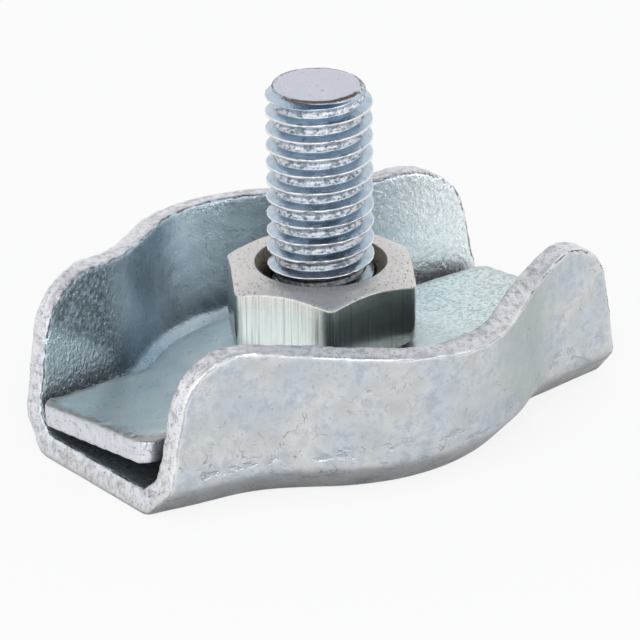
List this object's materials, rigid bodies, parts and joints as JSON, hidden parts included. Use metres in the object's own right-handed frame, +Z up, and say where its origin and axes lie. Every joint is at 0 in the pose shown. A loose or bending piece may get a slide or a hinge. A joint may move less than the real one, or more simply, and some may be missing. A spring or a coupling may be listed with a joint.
{
  "type": "simplex wire rope clip",
  "caption": "Pressed channel with waved walls, a loose clamping plate and a hexagon nut on one upright bolt, which grips a doubled wire rope.",
  "frame": {"origin": "bolt axis at the underside of the body", "axes": "+Z up along the bolt, +X along the clip and the rope, +Y across it"},
  "size_m": [0.0312, 0.0262, 0.0195],
  "materials": {
    "body_zinc": "bright zinc plated, faintly mottled",
    "plate_zinc": "bright zinc plated, satin",
    "nut_zinc": "zinc plated, brushed flats",
    "bolt_zinc": "blue zinc plated, bright"
  },
  "bodies": {
    "channel": {"clip_body": "body_zinc", "clamp_bolt": "bolt_zinc"},
    "plate": {"pressure_plate": "plate_zinc"},
    "nut": {"hex_nut": "nut_zinc"}
  },
  "joints": [
    {"name": "plate_lift", "type": "slide", "parent": "channel", "child": "plate", "axis": [0, 0, 1], "range_m": [0, 0.0094]},
    {"name": "nut_spin", "type": "hinge", "parent": "plate", "child": "nut", "pos_m": [0, 0, 0.007], "axis": [0, 0, 1], "range_deg": [0, 3384]}
  ],
  "couplings": [
    {"joint": "nut_spin", "follows": "plate_lift", "rad_per_m": 6283.2}
  ]
}
